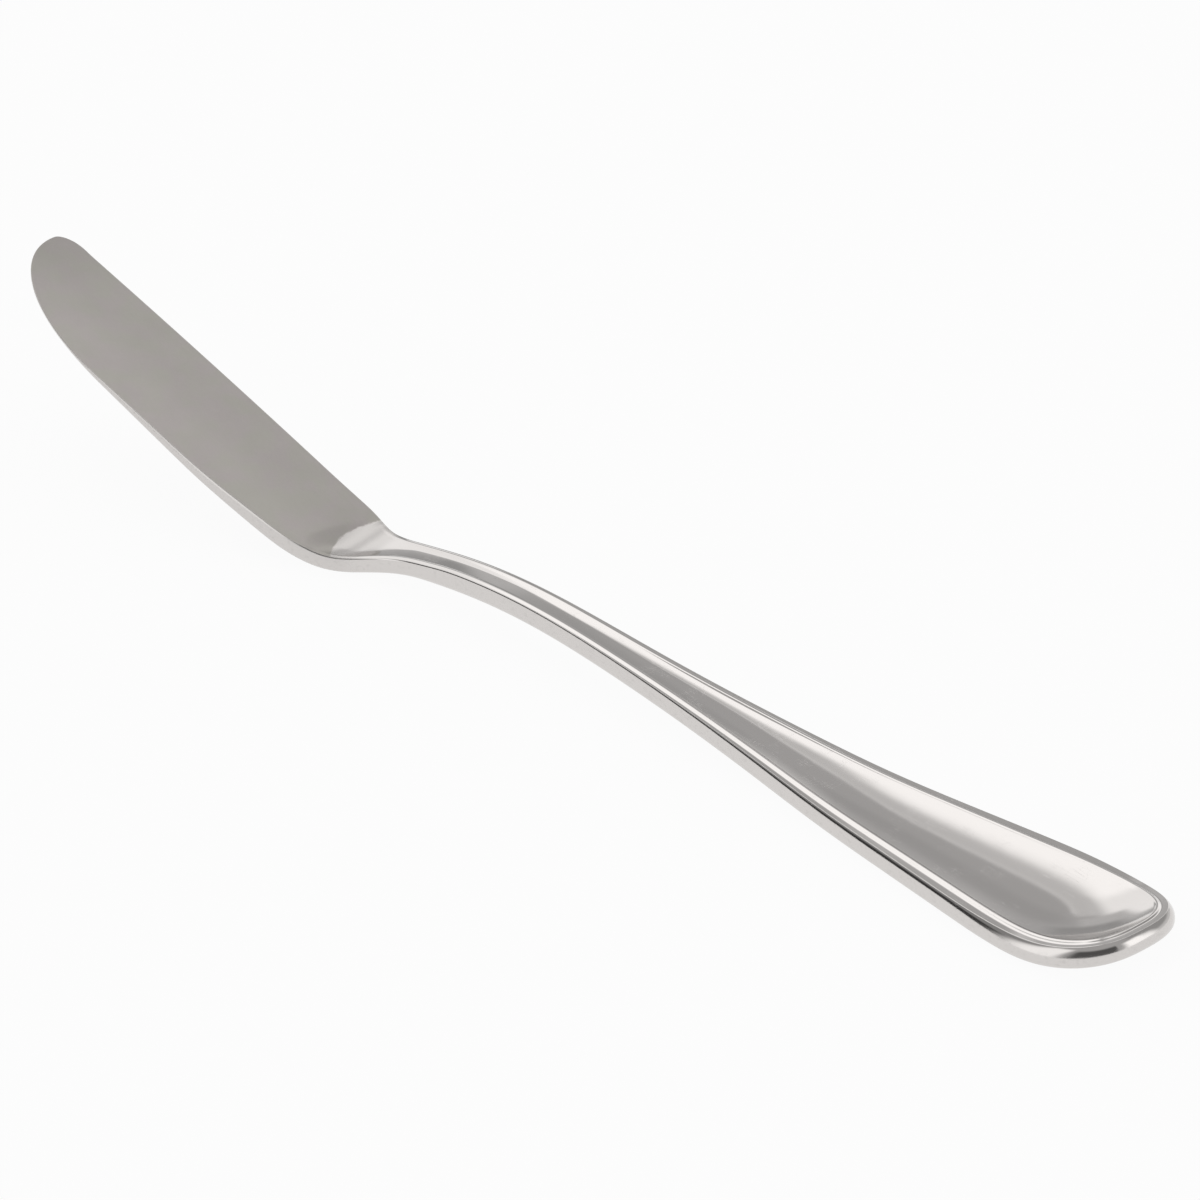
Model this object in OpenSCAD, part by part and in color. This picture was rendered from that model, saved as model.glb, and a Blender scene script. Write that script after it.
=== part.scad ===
// Butter knife with a flat patterned handle: one solid piece of stainless steel.
// Blade, heel, neck and handle are stamped from one strip, so this is a single node.
// Millimetres. +X runs from the handle end to the blade tip, +Y points to the cutting edge, +Z up.
// It rests on two small flats, under the handle and under the heel, that lie on z = 0.
// The body is a loft: closed sections follow the outline from the handle end to the tip, and
// every bend in the side view and in the outline is a corner with a rounding of its own length.

/* [Overall] */
// Length over all, measured level from the handle end to the tip
overall_len = 170; // [155:1:185]
// Length of the blade, measured level from the heel bend to the tip
blade_len = 55.5; // [50:0.5:62]

/* [Side view] */
// Angle at which the blade rises from the heel to the tip
blade_rise = 16.5; // [8:0.5:22]
// Half the length over which the heel is bent
heel_bend = 4; // [3:0.5:6]
// Distance from the heel back to the middle of the neck's arch
arch_at = 21.5; // [18:0.5:26]
// Half the length over which the neck arches
arch_bend = 22; // [16:0.5:24]
// Angle at which the handle rises from its flat towards the neck
handle_rise = 4; // [2:0.25:6]
// Distance from the handle end to where the handle starts to rise
rise_at = 40.5; // [36:0.5:48]
// Half the length over which the handle bends upwards
rise_bend = 11; // [8:0.5:14]
// Angle at which the handle end turns up
end_rise = 13.5; // [4:0.5:16]
// Distance from the handle end to the bend of its turned-up end
end_rise_at = 7; // [5:0.5:9]
// Half the length over which the handle end is bent
end_bend = 7.5; // [5:0.5:9]

/* [Handle outline] */
// Width of the neck at its narrowest
neck_w = 4.2; // [3.6:0.1:5.4]
// Width that the handle would have at its end with square corners
end_w = 17.8; // [15:0.1:21]
// Distance from the handle end to where the handle starts to widen
widen_from = 66.5; // [62:0.5:72]
// Half the length over which the widening starts
widen_bend = 35.5; // [26:0.5:37]
// Distance from the handle end to where the widening stops
widen_to = 13.7; // [11:0.1:17]
// Half the length over which the widening stops
widen_stop = 6; // [4:0.5:8]
// Length of the rounded handle end
round_len = 12.2; // [9:0.1:15]
// Squareness of the handle end: 2 is an ellipse, more is squarer
round_power = 2.6; // [2.2:0.1:3.2]

/* [Blade outline] */
// Width of the blade from its back to its edge
blade_w = 12.8; // [11:0.1:16]
// Step out from the neck to the back of the blade
back_step = 1; // [0.4:0.1:1.6]
// How far the back of the blade bows out in the middle
back_bow = 0.3; // [0:0.05:0.8]
// Distance from the heel back to where the edge side starts to widen
heel_from = 6; // [4:0.25:9]
// Angle of the widening at the heel, seen from above
heel_angle = 34; // [28:1:45]
// Half the length over which each end of the heel curve bends
heel_curve = 5.8; // [4:0.1:6.5]
// Angle at which the edge still widens ahead of the heel
edge_angle = 6; // [2:0.5:9]
// Distance from the heel to where the edge runs parallel to the back
edge_straight_at = 17; // [14:0.5:21]
// Length of the curve that brings the edge round to the tip
belly_len = 21; // [17:0.5:26]
// Fullness of that curve: 2 is an ellipse, more is fuller
belly_power = 2.05; // [1.8:0.05:2.6]
// Distance from the back of the blade to its foremost point
tip_drop = 1.8; // [1.6:0.1:2.6]
// Length of the small curve from the foremost point to the back
tip_round = 3.5; // [2.6:0.1:5]

/* [Thickness] */
// Thickness of the side wall along the handle and neck
handle_thick = 2.3; // [1.9:0.05:2.8]
// Thickness at the heel
heel_thick = 2.1; // [1.8:0.05:2.6]
// Thickness of the back of the blade at its tip
back_thick = 0.9; // [0.6:0.05:1.4]
// Thickness of the cutting edge near the tip
edge_thick = 0.4; // [0.3:0.05:0.7]
// Distance from the heel to where the edge starts to thin
thin_from = 8.5; // [5:0.5:12]
// Distance from the heel to where the edge has its least thickness
thin_to = 40.5; // [34:0.5:45]

/* [Border and dish] */
// Width of the flat border outside the raised thread, at the neck
border_w_neck = 0.5; // [0.4:0.05:0.7]
// Width of that border at the handle end
border_w_end = 1.6; // [1.2:0.05:2.3]
// Height of the thread over the border, at the neck
border_h_neck = 0.1; // [0:0.02:0.3]
// Height of the thread over the border, at the handle end
border_h_end = 0.24; // [0.1:0.02:0.5]
// Width of the raised thread at the neck
thread_w_neck = 0.4; // [0.3:0.02:0.5]
// Width of the raised thread at the handle end
thread_w_end = 0.8; // [0.5:0.05:1]
// Step from the thread down into the dish, at the neck
thread_h_neck = 0.08; // [0.04:0.01:0.14]
// Step from the thread down into the dish, at the handle end
thread_h_end = 0.16; // [0.08:0.01:0.25]
// Depth of the dish at the neck
dish_neck = 0.35; // [0.2:0.05:0.5]
// Depth of the dish at the handle end
dish_end = 1.05; // [0.5:0.05:1.3]
// Depth of the dish where it fans out at the heel
dish_heel = 0.65; // [0.3:0.05:0.8]
// Distance from the heel back to where the dish starts to fan out
dish_fan = 14; // [10:0.5:18]
// Distance from the heel back to where the dish starts to run out
dish_out = 1; // [0:0.25:3]

/* [Edges] */
// Rounding of the lower edges of the handle
low_round = 0.7; // [0.3:0.05:0.8]
// Rounding of the upper edges at the neck
top_round_neck = 0.2; // [0.1:0.02:0.3]
// Rounding of the upper edges at the handle end
top_round_end = 0.5; // [0.25:0.05:0.7]
// Width of the rounded border along the edge and back of the blade
blade_border = 0.3; // [0.2:0.05:0.4]

/* [Ground flats] */
// Depth to which the two resting flats are ground into the underside
flat_depth = 0.06; // [0.03:0.01:0.12]
// Depth to which the face of the blade is ground flat
face_depth = 0.05; // [0.03:0.01:0.1]
// Distance from the heel to where the ground face of the blade starts
face_from = 1.5; // [0.5:0.25:6]

/* [Hidden] */

x_end = -overall_len/2;
x_tip = overall_len/2;
x_heel = x_tip - blade_len;
back_y = -neck_w/2 - back_step;
tip_y = back_y + tip_drop;
edge_y = back_y + blade_w;
diag = 1 - sqrt(0.5);

// Share of the way from a to b, eased at both ends
function part_way(x, a, b) = let(t = min(1, max(0, (x - a)/(b - a)))) t*t*t*(t*(6*t - 15) + 10);
// A line that is 0 up to the corner at c and then rises 1 for 1, rounded over r on both sides
function hinge(x, c, r) = let(t = min(1, max(0, (x - c + r)/(2*r))))
    2*r*t*t*t*t*(2.5 - 3*t + t*t) + max(0, x - c - r);
// A value that goes from a at the neck to b at the full width of the handle end
function along(g, a, b) = a + (b - a)*g;

// Side view: underside of the strip before the blade is thinned, for a slope k behind the heel
function strip_low(x, k) =
    tan(end_rise)*hinge(-x, -x_end - end_rise_at, end_bend)
    + tan(handle_rise)*hinge(x, x_end + rise_at, rise_bend)
    - (tan(handle_rise) + k)*hinge(x, x_heel - arch_at, arch_bend)
    + (k + tan(blade_rise))*hinge(x, x_heel, heel_bend);
// The slope that brings the heel down to the same level as the flat of the handle
heel_xs = [for (i = [-8:0.25:6]) x_heel + i];
function find_slope(lo, hi, n) = let(mid = (lo + hi)/2)
    n == 0 ? mid :
    min([for (x = heel_xs) strip_low(x, mid)]) > 0 ? find_slope(mid, hi, n - 1) : find_slope(lo, mid, n - 1);
neck_slope = find_slope(0, 0.8, 30);
function low(x) = strip_low(x, neck_slope) - flat_depth;
function lean(x) = let(s = (low(x + 0.01) - low(x - 0.01))/0.02) sqrt(1 + s*s);

// Thickness of the strip, and of the edge and the back once the blade is thinned from below
function strip_t(x) = handle_thick + (heel_thick - handle_thick)*part_way(x, x_heel - 20, x_heel);
function edge_t(x) = strip_t(x) - (heel_thick - edge_thick)
    *(hinge(x, x_heel + thin_from, 4) - hinge(x, x_heel + thin_to, 4))/(thin_to - thin_from);
function back_t(x) = strip_t(x) - (heel_thick - back_thick)*hinge(x, x_heel + thin_from, 4)
    /(blade_len - thin_from);
function wall_top(x) = low(x) + strip_t(x)*lean(x);
// Height of the ground face of the blade where it starts
face_z = wall_top(x_tip) - tan(blade_rise)*(blade_len - face_from) - face_depth/cos(blade_rise);

// Outline from above
widen = (end_w - neck_w)/2/(widen_from - widen_to);
function half_w(x) = neck_w/2 + widen*(hinge(-x, -x_end - widen_from, widen_bend)
    - hinge(-x, -x_end - widen_to, widen_stop));
function rounded(u, n) = pow(max(0, 1 - pow(min(1, max(0, u)), n)), 1/n);
function end_round(x) = rounded(1 - (x - x_end)/round_len, round_power);
heel_k = tan(heel_angle);
edge_k = tan(edge_angle);
heel_a = x_heel - heel_from;
heel_c = x_heel + edge_straight_at;
heel_b = (heel_k*heel_a + edge_y - neck_w/2 - edge_k*heel_c)/(heel_k - edge_k);
function near_line(x) = half_w(x) + heel_k*hinge(x, heel_a, heel_curve)
    - (heel_k - edge_k)*hinge(x, heel_b, heel_curve) - edge_k*hinge(x, heel_c, 7);
function far_line(x) = let(v = max(0, (x - x_heel)/blade_len))
    -half_w(x) - back_step*part_way(x, x_heel - 5.5, x_heel + 5) - 4*back_bow*v*(1 - v);
function near_y(x) = x < x_heel ? near_line(x)*end_round(x) :
    tip_y + (near_line(x) - tip_y)*rounded((x - x_tip + belly_len)/belly_len, belly_power);
function far_y(x) = x < x_heel ? far_line(x)*end_round(x) :
    tip_y + (far_line(x) - tip_y)*rounded((x - x_tip + tip_round)/tip_round, 2);
// Inward directions of the two sides
function near_in(x) = let(m = (near_y(x + 0.002) - near_y(x - 0.002))/0.004) [m, -1]/sqrt(1 + m*m);
function far_in(x) = let(m = (far_y(x + 0.002) - far_y(x - 0.002))/0.004) [-m, 1]/sqrt(1 + m*m);

// Share of the full widening, and how much of the pattern is left towards the blade
function share(x) = max(0, (half_w(x) - neck_w/2)/((end_w - neck_w)/2));
function pattern(x) = 1 - part_way(x, x_heel - 7, x_heel + 1);
function border_w(x) = along(pattern(x), blade_border, along(share(x), border_w_neck, border_w_end));
function border_h(x) = pattern(x)*along(share(x), border_h_neck, border_h_end);
function thread_w(x) = along(pattern(x), 0.25, along(share(x), thread_w_neck, thread_w_end));
function thread_h(x) = pattern(x)*along(share(x), thread_h_neck, thread_h_end);
function dish(x) = pow(end_round(x), 2)*(1 - part_way(x, x_heel - dish_out, x_heel + 4.5))
    *along(part_way(x, x_heel - dish_fan, x_heel - 5), along(share(x), dish_neck, dish_end), dish_heel);
// The lowest line of the dish, as a share of the way from the edge side to the back
function valley(x) = 0.5 - 0.42*part_way(x, x_heel - 8.5, x_heel + 5.5);

// One side of a section, from the underside up to the foot of the thread: [distance in, height]
function side(x, t) = let(
        top = wall_top(x), bottom = top - t*lean(x), crest = top + border_h(x),
        lr = min(low_round, 0.4*t), tr = min(along(share(x), top_round_neck, top_round_end), 0.3*t),
        w = thread_w(x), b = max(border_w(x), tr + 0.6*w + 0.05), h = border_h(x))
    [[lr, bottom], [diag*lr, bottom + diag*lr], [0, bottom + lr],
     [0, top - tr], [diag*tr, top - diag*tr], [tr, top],
     [b - 0.6*w, top + 0.06*h], [b - 0.15*w, top + 0.6*h], [b + 0.3*w, crest],
     [b + 0.65*w, crest - 0.3*thread_h(x)], [b + w, crest - thread_h(x)]];
function placed(p, x, y, dir) = [x + p[0]*dir[0], y + p[0]*dir[1], p[1]];
function reversed(a) = [for (i = [len(a) - 1:-1:0]) a[i]];
dish_rows = [1/3, 2/3, 1, 4/3, 5/3];
function section(x) = let(
        near = [for (p = side(x, edge_t(x))) placed(p, x, near_y(x), near_in(x))],
        far = [for (p = side(x, back_t(x))) placed(p, x, far_y(x), far_in(x))],
        a = near[len(near) - 1], b = far[len(far) - 1], v = valley(x), d = dish(x),
        mid = [for (f = dish_rows) let(s = f < 1 ? f*v : v + (f - 1)*(1 - v))
            a + (b - a)*s - [0, 0, d*(1 - (1 - f)*(1 - f))]])
    concat(near, mid, reversed(far));

// Stations: close together round the handle end, at the heel and round the tip
end_xs = [for (a = [4, 9, 15, 22, 29, 36, 43, 50, 57, 64, 71, 78, 84])
    x_end + round_len*(1 - pow(cos(a), 2/round_power))];
body_n = 34;
body_xs = [for (i = [0:body_n - 1]) along(i/body_n, x_end + round_len, x_heel - 9)];
heel_n = 28;
heel_row = [for (i = [0:heel_n - 1]) along(i/heel_n, x_heel - 9, x_heel + 10)];
blade_n = 9;
blade_xs = [for (i = [0:blade_n - 1]) along(i/blade_n, x_heel + 10, x_tip - belly_len)];
tip_xs = [for (a = [0, 10, 20, 30, 38, 46, 53, 59, 64, 68.5, 72.5, 76, 79, 81.5, 84, 86, 87.5])
    x_tip - belly_len*(1 - sin(a))];
stations = concat(end_xs, body_xs, heel_row, blade_xs, tip_xs);

module knife_body() {
    rows = [for (x = stations) section(x)];
    m = len(rows[0]);
    n = len(rows);
    last = (n - 1)*m;
    half = (m - 3)/2;
    faces = concat(
        [for (i = [0:n - 2], j = [0:m - 1]) let(a = i*m + j, b = i*m + (j + 1)%m) [a, a + m, b + m]],
        [for (i = [0:n - 2], j = [0:m - 1]) let(a = i*m + j, b = i*m + (j + 1)%m) [a, b + m, b]],
        [for (j = [0:half - 1]) [j, j + 1, m - 2 - j]],
        [for (j = [0:half]) [j, m - 2 - j, m - 1 - j]],
        [for (j = [0:half - 1]) [last + j, last + m - 2 - j, last + j + 1]],
        [for (j = [0:half]) [last + j, last + m - 1 - j, last + m - 2 - j]]);
    // Centred across its width
    ys = [for (r = rows, p = r) p[1]];
    translate([0, -(max(ys) + min(ys))/2, 0])
        polyhedron(points = [for (r = rows, p = r) p], faces = faces, convexity = 6);
}

module butter_knife() {
    color([0.76, 0.75, 0.73])
        difference() {
            knife_body();
            // The two resting flats
            translate([-overall_len, -50, -10])
                cube([2*overall_len, 100, 10]);
            // The ground face of the blade
            translate([x_heel + face_from, -50, face_z])
                rotate([0, -blade_rise, 0])
                    cube([blade_len + 20, 100, 10]);
        }
}

butter_knife();
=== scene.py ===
"""Butter knife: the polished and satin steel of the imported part, on a pale studio floor."""
import math

import bpy
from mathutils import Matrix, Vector


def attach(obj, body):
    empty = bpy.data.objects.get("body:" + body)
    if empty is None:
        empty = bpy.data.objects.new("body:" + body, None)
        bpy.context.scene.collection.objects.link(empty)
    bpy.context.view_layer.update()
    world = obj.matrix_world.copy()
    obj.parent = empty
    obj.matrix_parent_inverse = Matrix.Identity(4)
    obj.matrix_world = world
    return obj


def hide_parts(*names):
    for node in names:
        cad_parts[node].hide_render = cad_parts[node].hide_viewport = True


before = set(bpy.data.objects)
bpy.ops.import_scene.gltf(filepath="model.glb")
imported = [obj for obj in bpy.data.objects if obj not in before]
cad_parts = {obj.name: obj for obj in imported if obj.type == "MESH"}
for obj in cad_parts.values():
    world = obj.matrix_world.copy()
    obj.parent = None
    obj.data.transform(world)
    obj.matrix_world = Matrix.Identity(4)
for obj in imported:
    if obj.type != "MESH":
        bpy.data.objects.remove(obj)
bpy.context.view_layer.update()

bl_info = {
    "name": "Butter knife",
    "version": (1, 0, 0),
    "blender": (4, 5, 0),
    "location": "3D View > Sidebar > Knife",
    "description": "Makes a one-piece steel butter knife and a small studio for it",
    "category": "Object",
}


# ---- Properties ----

def length(name, mm, text):
    """A length that is written in millimetres and kept in metres."""
    return bpy.props.FloatProperty(name=name, description=text, default=mm/1000, unit="LENGTH", precision=5)


def angle(name, degrees, text):
    """An angle that is written in degrees."""
    return bpy.props.FloatProperty(name=name, description=text, default=math.radians(degrees), subtype="ANGLE")


def number(name, value, text, low=0.0, high=1000.0):
    """A plain number."""
    return bpy.props.FloatProperty(name=name, description=text, default=value, min=low, max=high)


def colour(name, value, text):
    """A linear colour."""
    return bpy.props.FloatVectorProperty(name=name, description=text, default=value, subtype="COLOR",
                                         size=3, min=0.0, max=1.0)


class KnifeSizes(bpy.types.PropertyGroup):
    """Sizes of the knife, the same as the named sizes of the part."""
    overall_len: length("Overall length", 170, "Level length from the handle end to the tip")
    blade_len: length("Blade length", 55.5, "Level length from the heel bend to the tip")
    blade_rise: angle("Blade rise", 16.5, "Angle at which the blade rises from the heel")
    heel_bend: length("Heel bend", 4, "Half the length over which the heel is bent")
    arch_at: length("Arch at", 21.5, "Distance from the heel back to the middle of the neck's arch")
    arch_bend: length("Arch bend", 22, "Half the length over which the neck arches")
    handle_rise: angle("Handle rise", 4, "Angle at which the handle rises towards the neck")
    rise_at: length("Rise at", 40.5, "Distance from the handle end to where it starts to rise")
    rise_bend: length("Rise bend", 11, "Half the length over which the handle bends upwards")
    end_rise: angle("End rise", 13.5, "Angle at which the handle end turns up")
    end_rise_at: length("End rise at", 7, "Distance from the handle end to the bend of the turned-up end")
    end_bend: length("End bend", 7.5, "Half the length over which the handle end is bent")
    neck_w: length("Neck width", 4.2, "Width of the neck at its narrowest")
    end_w: length("End width", 17.8, "Width of the handle end before it is rounded")
    widen_from: length("Widen from", 66.5, "Distance from the handle end to where it starts to widen")
    widen_bend: length("Widen bend", 35.5, "Half the length over which the widening starts")
    widen_to: length("Widen to", 13.7, "Distance from the handle end to where the widening stops")
    widen_stop: length("Widen stop", 6, "Half the length over which the widening stops")
    round_len: length("Round length", 12.2, "Length of the rounded handle end")
    round_power: number("End squareness", 2.6, "2 is an ellipse, more is squarer")
    blade_w: length("Blade width", 12.8, "Width of the blade from its back to its edge")
    back_step: length("Back step", 1, "Step out from the neck to the back of the blade")
    back_bow: length("Back bow", 0.3, "How far the back of the blade bows out")
    heel_from: length("Heel from", 6, "Distance from the heel back to where the edge side widens")
    heel_angle: angle("Heel angle", 34, "Angle of the widening at the heel, seen from above")
    heel_curve: length("Heel curve", 5.8, "Half the length over which each end of the heel curve bends")
    edge_angle: angle("Edge angle", 6, "Angle at which the edge still widens ahead of the heel")
    edge_straight_at: length("Edge straight at", 17, "Distance from the heel to where the edge runs straight")
    belly_len: length("Belly length", 21, "Length of the curve that brings the edge round to the tip")
    belly_power: number("Belly fullness", 2.05, "2 is an ellipse, more is fuller")
    tip_drop: length("Tip drop", 1.8, "Distance from the back to the foremost point")
    tip_round: length("Tip round", 3.5, "Length of the curve from the foremost point to the back")
    handle_thick: length("Handle thickness", 2.3, "Thickness of the side wall along the handle")
    heel_thick: length("Heel thickness", 2.1, "Thickness at the heel")
    back_thick: length("Back thickness", 0.9, "Thickness of the blade's back at its tip")
    edge_thick: length("Edge thickness", 0.4, "Thickness of the cutting edge near the tip")
    thin_from: length("Thin from", 8.5, "Distance from the heel to where the edge starts to thin")
    thin_to: length("Thin to", 40.5, "Distance from the heel to where the edge is thinnest")
    flat_depth: length("Flat depth", 0.06, "Depth to which the resting flats are ground")
    face_depth: length("Face depth", 0.05, "Depth to which the face of the blade is ground")
    face_from: length("Face from", 1.5, "Distance from the heel to where the ground face starts")


class KnifePattern(bpy.types.PropertyGroup):
    """Sizes of the stamped border and dish, at the neck and at the handle end."""
    border_w_neck: length("Border width, neck", 0.5, "Width of the flat border outside the thread, at the neck")
    border_w_end: length("Border width, end", 1.6, "Width of the flat border outside the thread, at the end")
    border_h_neck: length("Thread height, neck", 0.1, "Height of the thread over the border, at the neck")
    border_h_end: length("Thread height, end", 0.24, "Height of the thread over the border, at the end")
    flank_neck: length("Thread flank, neck", 0.5, "Width over which the thread rises from the border, at the neck")
    flank_end: length("Thread flank, end", 0.56, "Width over which the thread rises from the border, at the end")
    thread_w_neck: length("Thread width, neck", 0.4, "Width of the thread at the neck")
    thread_w_end: length("Thread width, end", 0.8, "Width of the thread at the end")
    thread_h_neck: length("Thread step, neck", 0.03, "Step from the thread into the dish, at the neck")
    thread_h_end: length("Thread step, end", 0.06, "Step from the thread into the dish, at the end")
    dish_neck: length("Dish depth, neck", 0.2, "Depth of the dish at the neck")
    dish_end: length("Dish depth, end", 1.05, "Depth of the dish at the handle end")
    dish_waist: length("Dish depth, waist", 0.24, "Depth of the dish just behind the heel")
    dish_heel: length("Dish depth, heel", 0.38, "Depth of the dish where it fans out at the heel")
    dish_fan: length("Dish fans out", 5, "Distance from the heel back to where the dish starts to fan out")
    dish_out: length("Dish runs out", 1.5, "Distance from the heel back to where the dish starts to run out")
    valley_shift: number("Valley shift", 0.15, "How far the lowest line of the dish lies towards the back, at the neck")
    near_flank: length("Near flank", 2.4, "Width of the near side of the dish at the heel")
    near_drop: length("Near drop", 0.17, "How much lower the border on the edge side is just behind the heel")
    low_round: length("Lower rounding", 0.7, "Rounding of the lower edges")
    edge_turn: angle("Edge turn", 50, "Angle through which the upper edges are rounded before they meet the border")
    blade_turn: angle("Edge turn, blade", math.degrees(1.4), "The same angle on the blade")
    top_round_neck: length("Upper rounding, neck", 0.25, "Rounding of the upper edges at the neck")
    top_round_end: length("Upper rounding, handle", 1.25, "Rounding of the upper edges where the handle is widest")
    top_round_tip: length("Upper rounding, end", 2.0, "Rounding of the upper edge round the handle end")
    blade_round: length("Upper rounding, blade", 0.4, "Rounding of the upper edges of the blade")
    blade_border: length("Blade border", 0.3, "Width of the rounded border of the blade")
    blade_band: length("Blade band", 0.25, "Width of the band inside the border of the blade")
    stations: bpy.props.IntProperty(name="Stations", description="Sections along the knife", default=640, min=100)
    ring: bpy.props.IntProperty(name="Ring points", description="Points round a section, an odd number",
                                default=139, min=41)


class KnifeFinish(bpy.types.PropertyGroup):
    """Colours and roughness of the steel."""
    steel: colour("Steel", (0.634, 0.609, 0.592), "Colour of the polished stainless steel")
    satin_tint: colour("Satin tint", (0.605, 0.572, 0.543), "Colour of the satin blade")
    polish_rough: number("Polished roughness", 0.09, "Roughness of the polished handle", high=1)
    satin_rough: number("Satin roughness", 0.36, "Roughness of the satin blade", high=1)
    satin_from: length("Satin from", 31.75, "Place along the knife where the satin face starts")


class StudioSettings(bpy.types.PropertyGroup):
    """The floor, the light and the camera."""
    floor: colour("Floor", (0.9, 0.9, 0.9), "Colour of the floor")
    floor_pale: number("Floor paleness", 0.94, "How much of the floor looks plain white", high=1)
    room_level: number("Room brightness", 0.5, "Brightness of the room between the panels", high=2)
    view_azimuth: angle("Camera azimuth", 136.74, "Direction from the knife to the camera, from +X to +Y")
    view_elevation: angle("Camera elevation", 29.29, "Height of the camera over the floor, as an angle")
    view_distance: length("Camera distance", 700, "Distance from the camera to the middle of the view")
    view_x: length("View middle X", 5.025, "Middle of the view along the knife")
    view_y: length("View middle Y", -11.488, "Middle of the view across the knife")
    view_z: length("View middle Z", -0.06, "Middle of the view above the floor")
    lens: length("Focal length", 194.76, "Focal length for a 36 mm wide picture")


# ---- Node trees written as expressions ----

class Socket:
    """One output socket. Python's operators on it add Math nodes to its tree."""

    def __init__(self, tree, output):
        self.tree = tree
        self.output = output

    def _math(self, operation, *values):
        return self.tree.add("ShaderNodeMath", {"operation": operation}, dict(enumerate(values)))

    def __add__(self, other):
        return self._math("ADD", self, other)

    def __radd__(self, other):
        return self._math("ADD", other, self)

    def __sub__(self, other):
        return self._math("SUBTRACT", self, other)

    def __rsub__(self, other):
        return self._math("SUBTRACT", other, self)

    def __mul__(self, other):
        return self._math("MULTIPLY", self, other)

    def __rmul__(self, other):
        return self._math("MULTIPLY", other, self)

    def __truediv__(self, other):
        return self._math("DIVIDE", self, other)

    def __rtruediv__(self, other):
        return self._math("DIVIDE", other, self)

    def __pow__(self, other):
        return self._math("POWER", self, other)

    def __neg__(self):
        return self._math("MULTIPLY", self, -1.0)

    def __abs__(self):
        return self._math("ABSOLUTE", self)

    def least(self, other):
        return self._math("MINIMUM", self, other)

    def most(self, other):
        return self._math("MAXIMUM", self, other)

    def soft_least(self, other, distance):
        return self._math("SMOOTH_MIN", self, other, distance)

    def below(self, other):
        return self._math("LESS_THAN", self, other)

    def sin(self):
        return self._math("SINE", self)

    def cos(self):
        return self._math("COSINE", self)

    def tan(self):
        return self._math("TANGENT", self)

    def root(self):
        return self._math("SQRT", self)

    def to(self, other, share):
        """This value where share is 0 and the other where it is 1."""
        return self + (other - self)*share

    def clamped(self, low=0.0, high=1.0):
        return self.most(low).least(high)


class Tree:
    """A node tree that is filled by expressions."""

    def __init__(self, tree):
        self.tree = tree

    def add(self, kind, settings=None, sockets=None, out=0):
        """Adds a node: its settings first, then the values or links of its sockets. out is an output, or None
        for the node itself."""
        node = self.tree.nodes.new(kind)
        for key, value in (settings or {}).items():
            setattr(node, key, value)
        for key, value in (sockets or {}).items():
            if isinstance(value, Socket):
                self.tree.links.new(value.output, node.inputs[key])
            else:
                node.inputs[key].default_value = value
        return node if out is None else Socket(self, node.outputs[out])

    def out(self, node, *names):
        """The named outputs of a node."""
        return [Socket(self, node.outputs[name]) for name in names]

    def vector(self, x, y, z):
        return self.add("ShaderNodeCombineXYZ", None, {0: x, 1: y, 2: z})

    def parts(self, vector):
        return self.out(self.add("ShaderNodeSeparateXYZ", None, {0: vector}, None), 0, 1, 2)


def shape_tree(name, inputs, outputs):
    """A Geometry Nodes tree with named inputs and outputs: its Tree, its input sockets, its output node."""
    tree = bpy.data.node_groups.new(name, "GeometryNodeTree")
    for label, kind in inputs:
        tree.interface.new_socket(label, in_out="INPUT", socket_type=kind)
    for label, kind in outputs:
        tree.interface.new_socket(label, in_out="OUTPUT", socket_type=kind)
    g = Tree(tree)
    start = g.add("NodeGroupInput", None, None, None)
    end = g.add("NodeGroupOutput", None, None, None)
    return g, {label: Socket(g, start.outputs[label]) for label, kind in inputs}, end


def link_out(g, end, values):
    for label, value in values.items():
        g.tree.links.new(value.output, end.inputs[label])


FLOAT = "NodeSocketFloat"


def corner_tree():
    """A line that is level up to a corner and then rises 1 for 1, rounded on both sides, and its slope."""
    g, i, end = shape_tree("Rounded corner", [("Position", FLOAT), ("Corner", FLOAT), ("Rounding", FLOAT)],
                           [("Rise", FLOAT), ("Slope", FLOAT)])
    past = i["Position"] - i["Corner"]
    t = ((past + i["Rounding"])/(2*i["Rounding"])).clamped()
    rise = 2*i["Rounding"]*t*t*t*t*(2.5 - 3*t + t*t) + (past - i["Rounding"]).most(0.0)
    link_out(g, end, {"Rise": rise, "Slope": t*t*t*(10 - 15*t + 6*t*t)})
    return g.tree


def ease_tree():
    """Share of the way from one place to another, eased at both ends."""
    g, i, end = shape_tree("Eased share", [("Position", FLOAT), ("From", FLOAT), ("To", FLOAT)], [("Share", FLOAT)])
    t = ((i["Position"] - i["From"])/(i["To"] - i["From"])).clamped()
    link_out(g, end, {"Share": t*t*t*(t*(6*t - 15) + 10)})
    return g.tree


def python_corner(x, c, r):
    """The rounded corner for plain numbers."""
    t = min(1.0, max(0.0, (x - c + r)/(2*r)))
    return 2*r*t**4*(2.5 - 3*t + t*t) + max(0.0, x - c - r)


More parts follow.
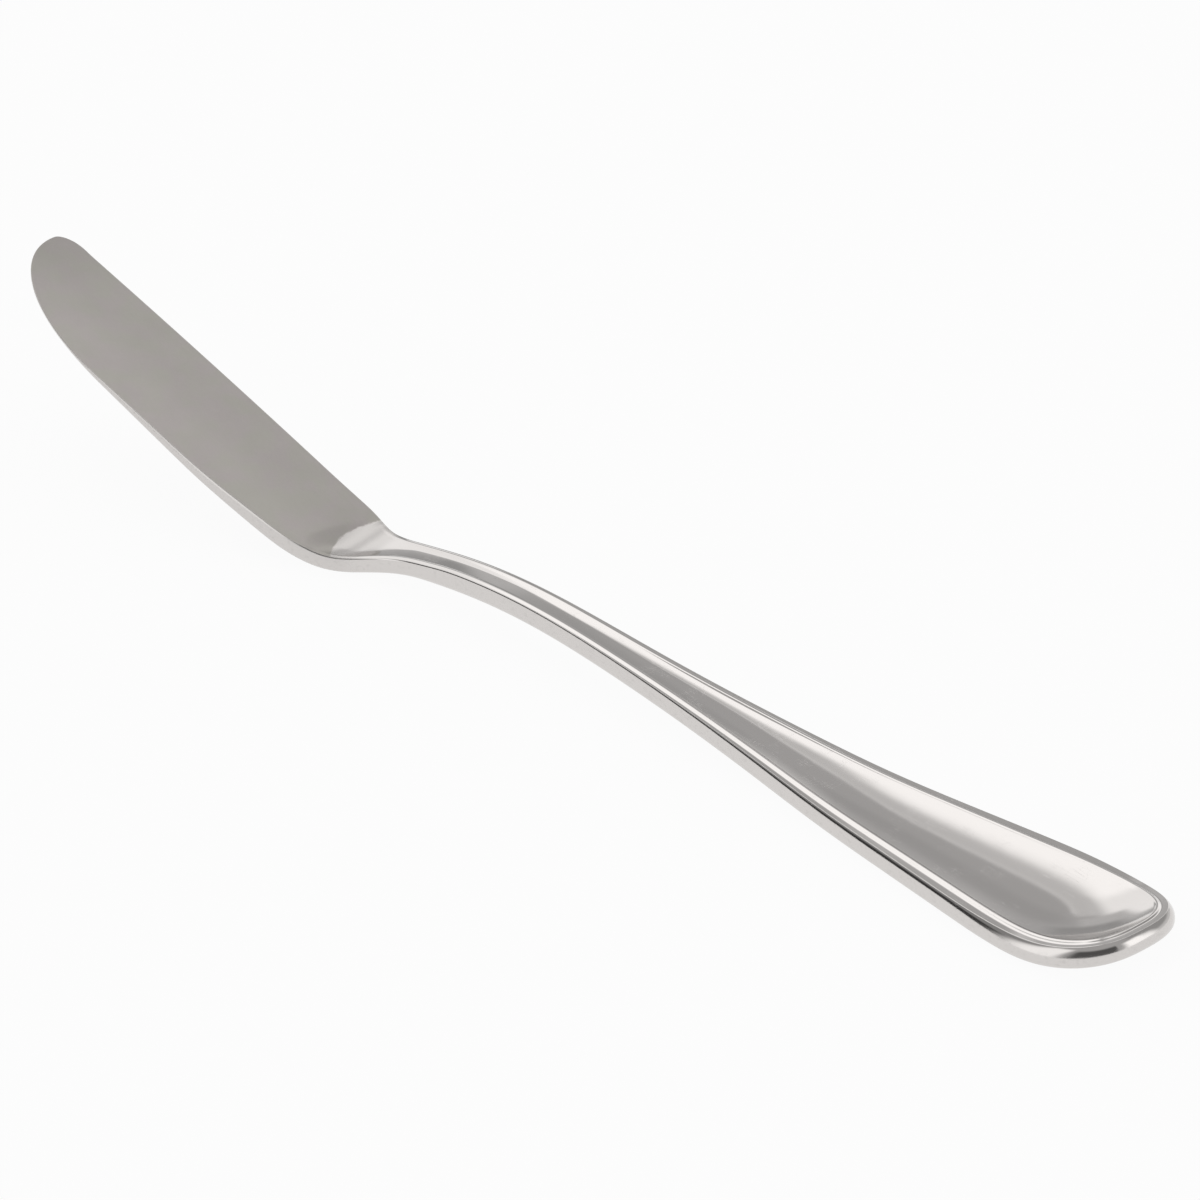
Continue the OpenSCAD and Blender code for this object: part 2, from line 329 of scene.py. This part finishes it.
def neck_slope(s):
    """The slope behind the heel that brings the heel down to the level of the handle's flat."""
    x_end, x_heel = -s.overall_len/2, s.overall_len/2 - s.blade_len

    def low(x, k):
        return (math.tan(s.end_rise)*python_corner(-x, -x_end - s.end_rise_at, s.end_bend)
                + math.tan(s.handle_rise)*python_corner(x, x_end + s.rise_at, s.rise_bend)
                - (math.tan(s.handle_rise) + k)*python_corner(x, x_heel - s.arch_at, s.arch_bend)
                + (k + math.tan(s.blade_rise))*python_corner(x, x_heel, s.heel_bend))

    # The range is halved until the lowest place near the heel, sought every quarter of a millimetre, is level
    a, b = 0.0, 0.8
    for _ in range(40):
        k = (a + b)/2
        if min(low(x_heel + i/4000, k) for i in range(-32, 25)) > 0:
            a = k
        else:
            b = k
    return (a + b)/2


QUARTER = math.pi/2

# Where a form changes along the knife, in metres ahead of the heel bend: from and to
BACK_STEPS_OUT = (-0.0055, 0.005)
PATTERN_ENDS = (-0.007, 0.001)
DISH_WAIST = (-0.014, -0.008)
DISH_ROUNDER = (-0.03, -0.06)
VALLEY_TO_BACK = (-0.072, -0.05)
VALLEY_TO_EDGE = (-0.032, -0.022)
STRIP_THINS = (-0.02, 0.0)
BLADE_ROUNDING = (0.0, 0.012)
NEAR_DROPS = (-0.016, -0.008)
NEAR_LEVELS = (-0.001, 0.005)
DISH_LEVELS = 0.006

# The same in metres from the handle end, and from the tip
END_ROUNDING = (0.003, 0.024)
TIP_THINS = -0.006

# Half the lengths over which the edge side and the thinning bend
EDGE_BEND = 0.007
THIN_BEND = 0.004

# Where the step and the dish start, in metres inwards from the crest of the thread: from and to
STEP_STARTS = (0.0, 0.0005)
DISH_STARTS = (-0.0001, 0.0006)

# Where the crest of the thread lies in its width, and how the border and the thread's height grow with the handle's
# width: less than 1 is sooner
CREST_AT = 0.3
SPREAD_POWER = 0.8

# Fullness of the dish's section near the heel and along the handle: 1 is a V and 2 is a bow
DISH_POWER_HEEL = 1.25
DISH_POWER_END = 2.0

# The dish counts as at least this many times as wide as its near side
NEAR_FLANK_ROOM = 1.4

# Softness of the corner where the ground face of the blade starts, and how close two points are to be one
FACE_SOFT = 0.00001
SAME_POINT = 0.000001

# Shares of the stations in the belly and in the rounded handle end
BELLY_SHARE = 0.16
END_SHARE = 0.16

# Shares of half a section at which the underside, the lower rounding, the side wall, the upper rounding and the
# border with its thread end, and the share of the thickness that a rounding may take
UNDERSIDE, LOWER, WALL, UPPER, BORDER = 0.06, 0.16, 0.21, 0.33, 0.56
ROUND_LIMIT = 0.4

# More than 1 crowds the points of a section towards its upper edges
CROWD = 1.4


def knife_tree():
    """The whole knife as a grid of sections along it, placed by the sizes of the side view, outline and pattern."""
    names = (*KnifeSizes.__annotations__, *KnifePattern.__annotations__)
    kinds = [(name, "NodeSocketInt" if name in ("stations", "ring") else FLOAT) for name in names]
    g, i, end = shape_tree("Knife body", kinds + [("neck_slope", FLOAT), ("Material", "NodeSocketMaterial")],
                           [("Geometry", "NodeSocketGeometry")])
    corner_group, ease_group = corner_tree(), ease_tree()

    def corner(x, c, r):
        node = g.add("GeometryNodeGroup", {"node_tree": corner_group}, {0: x, 1: c, 2: r}, None)
        return g.out(node, 0, 1)

    def ease(x, a, b):
        return g.add("GeometryNodeGroup", {"node_tree": ease_group}, {0: x, 1: a, 2: b})

    tip = i["overall_len"]*0.5
    back = -tip
    heel = tip - i["blade_len"]
    steps = i["stations"]

    def past_heel(x, span):
        """Eased share of the way along a span that is measured from the heel bend."""
        return ease(x, heel + span[0], heel + span[1])

    back_y = -(i["neck_w"]*0.5 + i["back_step"])
    tip_y = back_y + i["tip_drop"]
    edge_y = back_y + i["blade_w"]

    # Half the width of the handle, and how far along its widening a place is
    widen = (i["end_w"] - i["neck_w"])*0.5/(i["widen_from"] - i["widen_to"])

    def half_width(x):
        a = corner(-x, -back - i["widen_from"], i["widen_bend"])[0]
        b = corner(-x, -back - i["widen_to"], i["widen_stop"])[0]
        return i["neck_w"]*0.5 + widen*(a - b)

    # The outline, as a closed curve from the tip along the edge side to the handle end and back
    k = g.add("GeometryNodeInputIndex")
    at = steps - abs(steps - k)
    u = at/steps
    tip_q = (u/BELLY_SHARE).clamped()
    end_q = ((u - (1 - END_SHARE))/END_SHARE).clamped()
    mid_q = ((u - BELLY_SHARE)/(1 - BELLY_SHARE - END_SHARE)).clamped()
    half_sine = (tip_q*(QUARTER/2)).sin()
    w = 2*half_sine*half_sine
    end_cos = (end_q*QUARTER).cos().most(0.0)
    end_sin = (end_q*QUARTER).sin()
    x = (tip - i["belly_len"]*w - (i["overall_len"] - i["belly_len"] - i["round_len"])*mid_q
         - i["round_len"]*end_sin**(2/i["round_power"]))
    end_round = end_cos**(2/i["round_power"])
    half = half_width(x)
    heel_k, edge_k = i["heel_angle"].tan(), i["edge_angle"].tan()
    heel_a = heel - i["heel_from"]
    heel_c = heel + i["edge_straight_at"]
    heel_b = (heel_k*heel_a + edge_y - i["neck_w"]*0.5 - edge_k*heel_c)/(heel_k - edge_k)
    near_line = (half + heel_k*corner(x, heel_a, i["heel_curve"])[0]
                 - (heel_k - edge_k)*corner(x, heel_b, i["heel_curve"])[0] - edge_k*corner(x, heel_c, EDGE_BEND)[0])
    v = ((x - heel)/i["blade_len"]).most(0.0)
    far_line = -half - i["back_step"]*past_heel(x, BACK_STEPS_OUT) - 4*i["back_bow"]*v*(1 - v)
    near_tip = (1 - (1 - w)**i["belly_power"]).most(0.0)**(1/i["belly_power"])
    far_u = (1 - w*i["belly_len"]/i["tip_round"]).most(0.0)
    far_tip = (1 - far_u*far_u).most(0.0).root()
    near_y = near_line*end_round*near_tip + tip_y*(1 - near_tip)
    far_y = far_line*end_round*far_tip + tip_y*(1 - far_tip)
    on_near = k.below(steps + 0.5)
    outline = g.add("GeometryNodeCurvePrimitiveCircle", None, {"Resolution": 2*steps})
    outline = g.add("GeometryNodeSetPosition", None,
                    {"Geometry": outline, "Position": g.vector(x, far_y.to(near_y, on_near), 0.0)})

    # A grid, one row for each station and one column for each point round the section
    grid = g.add("GeometryNodeMeshGrid", None, {"Size X": 1.0, "Size Y": 1.0, "Vertices X": steps + 1,
                                                "Vertices Y": i["ring"]})
    gx, gy = g.parts(g.add("GeometryNodeInputPosition"))[:2]
    row = g.add("ShaderNodeMath", {"operation": "ROUND"}, {0: (gx + 0.5)*steps})
    ring_v = gy + 0.5
    near = ring_v.below(0.5001)  # the middle column counts as near

    def sample(field, index):
        return g.parts(g.add("GeometryNodeSampleIndex", {"data_type": "FLOAT_VECTOR"},
                             {"Geometry": outline, "Value": field, "Index": index}))

    place, tangent = g.add("GeometryNodeInputPosition"), g.add("GeometryNodeInputTangent")
    wrap = g.add("ShaderNodeMath", {"operation": "MODULO"}, {0: 2*steps - row, 1: 2*steps})
    own_i, other_i = wrap.to(row, near), row.to(wrap, near)
    own, other = sample(place, own_i), sample(place, other_i)
    own_t, other_t = sample(tangent, own_i), sample(tangent, other_i)

    # What changes along the knife
    sx = own[0]
    share = ((half_width(sx) - i["neck_w"]*0.5)/((i["end_w"] - i["neck_w"])*0.5)).most(0.0)
    pattern = 1 - past_heel(sx, PATTERN_ENDS)
    spread = share**SPREAD_POWER
    border_w = i["blade_border"].to(i["border_w_neck"].to(i["border_w_end"], spread), pattern)
    thread_w = i["blade_band"].to(i["thread_w_neck"].to(i["thread_w_end"], share), pattern)
    crest_h = pattern*i["border_h_neck"].to(i["border_h_end"], spread)
    flank = i["flank_neck"].to(i["flank_end"], spread)
    step_h = pattern*i["thread_h_neck"].to(i["thread_h_end"], share)
    crest_w = border_w + CREST_AT*thread_w
    end_share = ((sx - back)/i["round_len"]).clamped()
    end_full = (1 - (1 - end_share)**i["round_power"]).most(0.0)**(2/i["round_power"])
    fan = ease(sx, heel - i["dish_fan"], heel)
    dish = (end_full*(1 - ease(sx, heel - i["dish_out"], heel + DISH_LEVELS))
            * i["dish_neck"].to(i["dish_end"], share).to(i["dish_waist"], past_heel(sx, DISH_WAIST))
            .to(i["dish_heel"], fan))
    dish_power = DISH_POWER_HEEL + (DISH_POWER_END - DISH_POWER_HEEL)*past_heel(sx, DISH_ROUNDER)
    valley = 0.5 + i["valley_shift"]*past_heel(sx, VALLEY_TO_BACK)
    inner_w = (abs(own[1] - other[1]) - 2*crest_w).most(NEAR_FLANK_ROOM*i["near_flank"])
    valley = valley.to(i["near_flank"]/inner_w, past_heel(sx, VALLEY_TO_EDGE))
    strip = i["handle_thick"].to(i["heel_thick"], past_heel(sx, STRIP_THINS))
    thin_a = corner(sx, heel + i["thin_from"], THIN_BEND)[0]
    thin_b = corner(sx, heel + i["thin_to"], THIN_BEND)[0]
    edge_t = strip - (i["heel_thick"] - i["edge_thick"])*(thin_a - thin_b)/(i["thin_to"] - i["thin_from"])
    back_t = strip - (i["heel_thick"] - i["back_thick"])*thin_a/(i["blade_len"] - i["thin_from"])
    back_t = back_t.to(edge_t, ease(sx, tip + TIP_THINS, tip))
    own_thick, other_thick = back_t.to(edge_t, near), edge_t.to(back_t, near)
    own_low = i["low_round"].least(ROUND_LIMIT*own_thick)
    other_low = i["low_round"].least(ROUND_LIMIT*other_thick)
    on_blade = past_heel(sx, BLADE_ROUNDING)
    top_round = i["top_round_neck"].to(i["top_round_end"], share).to(i["blade_round"], on_blade)
    top_round = top_round.least(ROUND_LIMIT*own_thick)
    top_round = i["top_round_tip"].to(top_round, ease(sx, back + END_ROUNDING[0], back + END_ROUNDING[1]))
    edge_turn = i["edge_turn"].to(i["blade_turn"], on_blade)
    edge_in, edge_up = top_round*(1 - edge_turn.cos()), top_round*edge_turn.sin()

    # What changes round the section: underside, lower rounding, side wall, upper rounding, border and thread, dish
    s = 1 - abs(1 - 2*ring_v)

    def part(start, stop):
        """Share of the way round the section from one of its parts' ends to the next."""
        return ((s - start)/(stop - start)).clamped()

    low_q = part(0.0, UNDERSIDE)
    arc_q = part(UNDERSIDE, LOWER)
    wall_gap = 1 - part(LOWER, WALL)
    wall_q = 1 - wall_gap*wall_gap*wall_gap
    rounded = (1 - (1 - part(WALL, UPPER))**CROWD)*edge_turn
    flat_q = part(UPPER, BORDER)**CROWD
    dish_q = part(BORDER, 1.0)**CROWD
    rim_in = top_round*(1 - rounded.cos()) + (crest_w - edge_in)*flat_q
    flank_q = ((rim_in - crest_w)/flank + 1).clamped()
    rim_up = top_round*rounded.sin() + crest_h*flank_q*flank_q*(3 - 2*flank_q)
    arc_in = 1 - (arc_q*QUARTER).sin()
    cross = 0.5*(1 - low_q) + dish_q*(1 - valley).to(valley, near)
    own_in, other_in = own_low*arc_in + rim_in, other_low*arc_in + rim_in
    px = (own[0] - own_in*own_t[1]).to(other[0] - other_in*other_t[1], cross)
    py = (own[1] + own_in*own_t[0]).to(other[1] + other_in*other_t[0], cross)

    # Height of the side view at that place
    low = -i["flat_depth"]
    slope = 0.0
    for mirrored, at_x, bend, grade in (
            (-1, -back - i["end_rise_at"], i["end_bend"], i["end_rise"].tan()),
            (1, back + i["rise_at"], i["rise_bend"], i["handle_rise"].tan()),
            (1, heel - i["arch_at"], i["arch_bend"], -(i["handle_rise"].tan() + i["neck_slope"])),
            (1, heel, i["heel_bend"], i["neck_slope"] + i["blade_rise"].tan())):
        rise, pitch = corner(px*mirrored, at_x, bend)
        low = low + grade*rise
        slope = slope + grade*pitch*mirrored
    lean = (1 + slope*slope).root()
    top = low + lean*i["handle_thick"].to(i["heel_thick"], past_heel(px, STRIP_THINS))
    thick = own_thick.to(other_thick, cross)
    low_round = own_low.to(other_low, cross)
    z = top - thick*lean + low_round*(1 - (arc_q*QUARTER).cos())
    z = z.to(top - edge_up, wall_q) + rim_up
    body_w = (own[1] - other[1]).most(0.0).to((other[1] - own[1]).most(0.0), 1 - near)
    across = dish_q*body_w*(1 - valley).to(valley, near)
    z = (z - step_h*ease(across, *STEP_STARTS)
         - dish*(1 - (1 - dish_q)**dish_power)*ease(across, *DISH_STARTS))
    drop = i["near_drop"]*past_heel(sx, NEAR_DROPS)*(1 - past_heel(sx, NEAR_LEVELS))
    z = z - drop*near*wall_q*(1 - dish_q)

    # The ground face of the blade lies a little under the line of the blade's top. Behind it, 1 m is no limit.
    rise_k, lift_k = i["blade_rise"].tan(), i["handle_rise"].tan()
    heel_low = (lift_k*(heel - back - i["rise_at"]) - (lift_k + i["neck_slope"])*i["arch_at"] - i["flat_depth"])
    face = (heel_low + rise_k*(px - heel) + (i["heel_thick"] - i["face_depth"])/i["blade_rise"].cos()
            + px.below(heel + i["face_from"]))
    z = z.soft_least(face, FACE_SOFT).most(0.0)

    body = g.add("GeometryNodeSetPosition", None, {"Geometry": grid, "Position": g.vector(px, py, z)})
    body = g.add("GeometryNodeMergeByDistance", None, {"Geometry": body, "Distance": SAME_POINT})
    box = g.out(g.add("GeometryNodeBoundBox", None, {"Geometry": body}, None), "Min", "Max")
    middle = (g.parts(box[0])[1] + g.parts(box[1])[1])*-0.5
    body = g.add("GeometryNodeSetPosition", None, {"Geometry": body, "Offset": g.vector(0.0, middle, 0.0)})
    body = g.add("GeometryNodeSetShadeSmooth", None, {"Geometry": body})
    body = g.add("GeometryNodeRealizeInstances", None, {"Geometry": body})
    body = g.add("GeometryNodeSetMaterial", None, {"Geometry": body, "Material": i["Material"]})
    link_out(g, end, {"Geometry": body})
    return g.tree


# ---- Materials ----

def new_material(name):
    material = bpy.data.materials.new(name)
    material.use_nodes = True
    material.node_tree.nodes.clear()
    return material, Tree(material.node_tree)


# Where the finish changes along X and across Y, and where painted sheen and painted shade lie on the satin, in
# millimetres: from and to
PITS_COME = (8, 20)
HEEL_DULLS = (26, 28.8)
PAINTED_SHADE_TIP = (72, 85)
PAINTED_SHEEN_EDGE = (0, 7)

# The line across the heel where the satin starts: its foremost place across the knife, in millimetres, and how much
# it curves back from there towards the edge and towards the back, in millimetres per square millimetre
LINE_MIDDLE = 0.8
LINE_CURVE_NEAR = 0.09
LINE_CURVE_FAR = 0.025

# Half the width over which polish turns into satin at that line, and how far the line strays, in millimetres
LINE_SOFT = 0.16
LINE_STRAY = 0.5

# How steeply a surface faces up or down, from and to, where it turns into a flat face or out of the side wall
FLAT_FACES = (0.88, 0.94)
SIDE_WALL = (0.3, 0.6)


def steel_material(finish):
    """Mirror-polished steel, with a fine satin face on the blade."""
    material, g = new_material("stainless_steel")
    x, y, z = (value*1000 for value in g.parts(g.add("ShaderNodeTexCoord", None, None, "Object")))
    nz = abs(g.parts(g.add("ShaderNodeNewGeometry", None, None, "Normal"))[2])

    def noise(scale, stretch=(1, 1, 1), detail=2.0, rough=0.5):
        """Noise from 0 to 1 in millimetres. A stretch of less than 1 draws it out along that axis."""
        at = g.vector(x*stretch[0], y*stretch[1], z*stretch[2])
        return g.add("ShaderNodeTexNoise", None, {"Vector": at, "Scale": scale, "Detail": detail,
                                                  "Roughness": rough}, "Fac")

    def ease(value, low, high):
        """0 below low and 1 above high, eased between them."""
        return g.add("ShaderNodeMapRange", {"interpolation_type": "SMOOTHSTEP"},
                     {"Value": value, "From Min": low, "From Max": high}, "Result")

    # Satin: ahead of a slightly ragged curved line across the heel, on the flat faces and not on the side wall
    near, far = (y - LINE_MIDDLE).most(0.0), (y - LINE_MIDDLE).least(0.0)
    ragged = (noise(2.2, detail=3) - 0.5)*LINE_STRAY
    heel_line = finish.satin_from*1000 - LINE_CURVE_NEAR*near*near - LINE_CURVE_FAR*far*far + ragged
    satin = ease(x - heel_line, -LINE_SOFT, LINE_SOFT)*ease(nz, *FLAT_FACES)
    grain = noise(9.0, (0.05, 1, 1), detail=3)
    fine = noise(14.0)
    cloud = noise(0.22)
    streak = noise(2.6, (0.06, 1, 1), detail=3)

    # Polish: faint clouds, and a few fine scratches and, towards the heel, pits
    scratch_a = ease(abs(noise(1.9, (0.08, 1.3, 1), detail=1) - 0.5), 0.004, 0.0)
    scratch_b = ease(abs(noise(1.3, (0.9, 0.12, 1), detail=1) - 0.52), 0.003, 0.0)
    scratch = scratch_a.most(scratch_b)*ease(noise(0.35), 0.5, 0.62)
    pit = g.add("ShaderNodeTexVoronoi", None, {"Vector": g.vector(x, y, z), "Scale": 0.9}, "Distance")
    pits = ease(pit, 0.075, 0.04)*ease(noise(0.5), 0.56, 0.64)*ease(x, *PITS_COME)

    # The side wall is a little duller, with fine specks, and is painted a little lighter as painted sheen
    wall = 1 - ease(nz, *SIDE_WALL)
    specks = wall*ease(noise(2.4, (0.6, 1, 1), detail=3, rough=0.6), 0.52, 0.7)

    polish = (finish.polish_rough*(0.8 + 0.5*cloud) + 0.07*scratch + 0.05*pits + 0.08*wall
              + 0.17*ease(x, *HEEL_DULLS))
    brushed = finish.satin_rough*(0.92 + 0.16*streak)
    rough = polish.to(brushed, satin)
    # The +0.03 on the side wall is painted sheen; pits, scratches and specks are real marks
    tone = 1 - 0.10*pits - 0.03*scratch - 0.07*specks + 0.03*wall
    # Besides its grain and random clouds, the satin is painted lighter towards the edge side as painted sheen and
    # darker towards the tip as painted shade
    satin_grain_and_painted_light = (0.66 + 0.05*ease(y, *PAINTED_SHEEN_EDGE) - 0.06*ease(x, *PAINTED_SHADE_TIP) + 0.05*(grain - 0.5)
                  + 0.04*(fine - 0.5) + 0.05*(cloud - 0.5))
    tone = tone.to(satin_grain_and_painted_light, satin)

    # Large soft patches of the satin are a little redder or greener
    red, green, blue = finish.satin_tint
    satin_shade = g.add("ShaderNodeMix", {"data_type": "RGBA"}, {
        0: ease(noise(0.3), 0.35, 0.65), 6: (red + 0.006, green - 0.005, blue + 0.008, 1.0),
        7: (red - 0.006, green + 0.005, blue - 0.012, 1.0)}, 2)
    shade = g.add("ShaderNodeMix", {"data_type": "RGBA"}, {0: satin, 6: (*finish.steel, 1.0), 7: satin_shade}, 2)
    shade = g.add("ShaderNodeVectorMath", {"operation": "SCALE"}, {0: shade, "Scale": tone})
    height = ((cloud - 0.5)*0.5 - 0.12*scratch - 0.5*pits).to((grain - 0.5)*0.35 + (fine - 0.5)*0.12, satin)
    bump = g.add("ShaderNodeBump", None, {"Strength": 0.35, "Distance": 0.00004, "Height": height})
    shader = g.add("ShaderNodeBsdfPrincipled", None, {
        "Metallic": 1.0, "Base Color": shade, "Roughness": rough, "Normal": bump})
    g.add("ShaderNodeOutputMaterial", None, {"Surface": shader}, None)
    return material


def floor_material(settings):
    """A pale matt floor that the camera and the steel see almost white, with the knife's shadow on it."""
    material, g = new_material("studio_floor")
    matt = g.add("ShaderNodeBsdfDiffuse", None, {"Color": (*settings.floor, 1.0)})
    pale = g.add("ShaderNodeEmission", None, {"Color": (1.0, 1.0, 1.0, 1.0), "Strength": 1.0})
    seen = g.add("ShaderNodeLightPath", None, None, None)
    camera, glossy, through = g.out(seen, "Is Camera Ray", "Is Glossy Ray", "Is Transmission Ray")
    white = camera.most(glossy).most(through)*settings.floor_pale
    mixed = g.add("ShaderNodeMixShader", None, {0: white, 1: matt, 2: pale})
    g.add("ShaderNodeOutputMaterial", None, {"Surface": mixed}, None)
    return material


# Soft panels round the knife: azimuth from and to, elevation from and to, softness in degrees, brightness
PANELS = (
    (-140, -74, 14, 58, 8, 0.40),
    (-140, -74, -90, 12, 8, 0.75),
    (98, 190, -90, 42, 8, 0.11),
    (26, 54, -90, 44, 6, 0.30),
    (26, 54, -90, 24, 5, 0.05),
    (56, 86, -90, 50, 6, 1.30),
    (-164, -134, -90, 38, 8, 1.50),
    (-57, -48, 16, 26, 3, 0.45),
    (-72, -58, -90, 50, 4, 1.25),
    (-72, -44, 44, 70, 3, 1.15),
    (-45.6, -40, 24, 44, 1.2, 0.71),
    (-45.6, -34, 40, 49, 1.2, 0.71),
    (-45.9, -44.8, 27, 48, 0.6, 0.82),
    (-38.5, 15, 8, 50, 3.5, 1.20),
    (-36.5, 15, 38, 74, 4, 1.45),
    (-45, -33.5, 4, 22, 1.5, 0.62),
    (-50, -37, -90, 12, 2.5, 0.38),
)


def studio_world(settings):
    """Soft light from all round: a grey room with a few pale and dark panels."""
    world = bpy.data.worlds.new("studio")
    world.use_nodes = True
    world.node_tree.nodes.clear()
    g = Tree(world.node_tree)
    x, y, z = g.parts(g.add("ShaderNodeTexCoord", None, None, "Generated"))
    turn = g.add("ShaderNodeMath", {"operation": "ARCTAN2"}, {0: y, 1: x})*(180/math.pi)
    rise = g.add("ShaderNodeMath", {"operation": "ARCSINE"}, {0: z})*(180/math.pi)

    def between(value, low, high, soft):
        up = g.add("ShaderNodeMapRange", {"interpolation_type": "SMOOTHSTEP"},
                   {"Value": value, "From Min": low - soft, "From Max": low + soft}, "Result")
        down = g.add("ShaderNodeMapRange", {"interpolation_type": "SMOOTHSTEP"},
                     {"Value": value, "From Min": high - soft, "From Max": high + soft}, "Result")
        return up*(1 - down)

    level = settings.room_level
    for left, right, low, high, soft, bright in PANELS:
        level = level + (bright - level)*(between(turn, left, right, soft)*between(rise, low, high, soft))
    back = g.add("ShaderNodeBackground", None, {"Color": (1.0, 1.0, 1.0, 1.0), "Strength": level})
    g.add("ShaderNodeOutputWorld", None, {"Surface": back}, None)
    return world


# ---- Operators ----

class MakeKnife(bpy.types.Operator):
    """Makes the knife's blade, heel, neck and patterned handle as one smooth body"""
    bl_idname = "knife.make_knife"
    bl_label = "Make the knife"

    def execute(self, context):
        scene = context.scene
        sizes, pattern = scene.knife_sizes, scene.knife_pattern
        steel = steel_material(scene.knife_finish)
        tree = knife_tree()
        carrier = bpy.data.objects.new("knife_grid", bpy.data.meshes.new("knife_grid"))
        scene.collection.objects.link(carrier)
        modifier = carrier.modifiers.new("Knife body", "NODES")
        modifier.node_group = tree
        for item in tree.interface.items_tree:
            if item.in_out == "INPUT":
                if item.name == "neck_slope":
                    value = neck_slope(sizes)
                elif item.name == "Material":
                    value = steel
                else:
                    value = getattr(sizes if item.name in KnifeSizes.__annotations__ else pattern, item.name)
                modifier[item.identifier] = value
        context.view_layer.update()
        shape = carrier.evaluated_get(context.evaluated_depsgraph_get())
        mesh = bpy.data.meshes.new_from_object(shape, depsgraph=context.evaluated_depsgraph_get())
        carrier.modifiers.remove(modifier)
        bpy.data.objects.remove(carrier)
        mesh.name = "butter_knife_body"
        body = bpy.data.objects.new("butter_knife_body", mesh)
        scene.collection.objects.link(body)
        mesh.materials.clear()
        mesh.materials.append(steel)
        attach(body, "root")
        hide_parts("butter_knife")
        return {"FINISHED"}


class MakeStudio(bpy.types.Operator):
    """Makes the floor, the soft light and the camera"""
    bl_idname = "knife.make_studio"
    bl_label = "Make the studio"

    def execute(self, context):
        scene = context.scene
        settings = scene.knife_studio
        reach = 3.0
        mesh = bpy.data.meshes.new("floor")
        mesh.from_pydata([(-reach, -reach, 0), (reach, -reach, 0), (reach, reach, 0), (-reach, reach, 0)], [],
                         [(0, 1, 2, 3)])
        floor = bpy.data.objects.new("floor", mesh)
        mesh.materials.append(floor_material(settings))
        scene.collection.objects.link(floor)

        scene.world = studio_world(settings)

        camera = bpy.data.cameras.new("camera")
        camera.sensor_width = 36
        camera.lens = settings.lens*1000
        camera.clip_end = 20
        eye = bpy.data.objects.new("camera", camera)
        scene.collection.objects.link(eye)
        across, up = math.cos(settings.view_elevation), math.sin(settings.view_elevation)
        away = Vector((across*math.cos(settings.view_azimuth), across*math.sin(settings.view_azimuth), up))
        eye.location = Vector((settings.view_x, settings.view_y, settings.view_z)) + away*settings.view_distance
        eye.rotation_euler = away.to_track_quat("Z", "Y").to_euler()
        scene.camera = eye
        scene.view_settings.view_transform = "Standard"
        return {"FINISHED"}


class KnifePanel(bpy.types.Panel):
    """Lists the knife's sizes, its finish and the studio"""
    bl_idname = "VIEW3D_PT_knife"
    bl_label = "Butter knife"
    bl_space_type = "VIEW_3D"
    bl_region_type = "UI"
    bl_category = "Knife"

    def draw(self, context):
        layout = self.layout
        for operator in OPERATORS:
            layout.operator(operator.bl_idname)
        for key in GROUPS:
            group = getattr(context.scene, key)
            box = layout.box()
            for name in group.__annotations__:
                box.prop(group, name)


GROUPS = {"knife_sizes": KnifeSizes, "knife_pattern": KnifePattern, "knife_finish": KnifeFinish,
          "knife_studio": StudioSettings}
OPERATORS = (MakeKnife, MakeStudio)
CLASSES = (*GROUPS.values(), *OPERATORS, KnifePanel)


def register():
    for cls in CLASSES:
        bpy.utils.register_class(cls)
    for key, group in GROUPS.items():
        setattr(bpy.types.Scene, key, bpy.props.PointerProperty(type=group))


def unregister():
    for key in GROUPS:
        delattr(bpy.types.Scene, key)
    for cls in reversed(CLASSES):
        bpy.utils.unregister_class(cls)


def main():
    register()
    bpy.ops.knife.make_knife()
    bpy.ops.knife.make_studio()


if __name__ == "__main__":
    main()
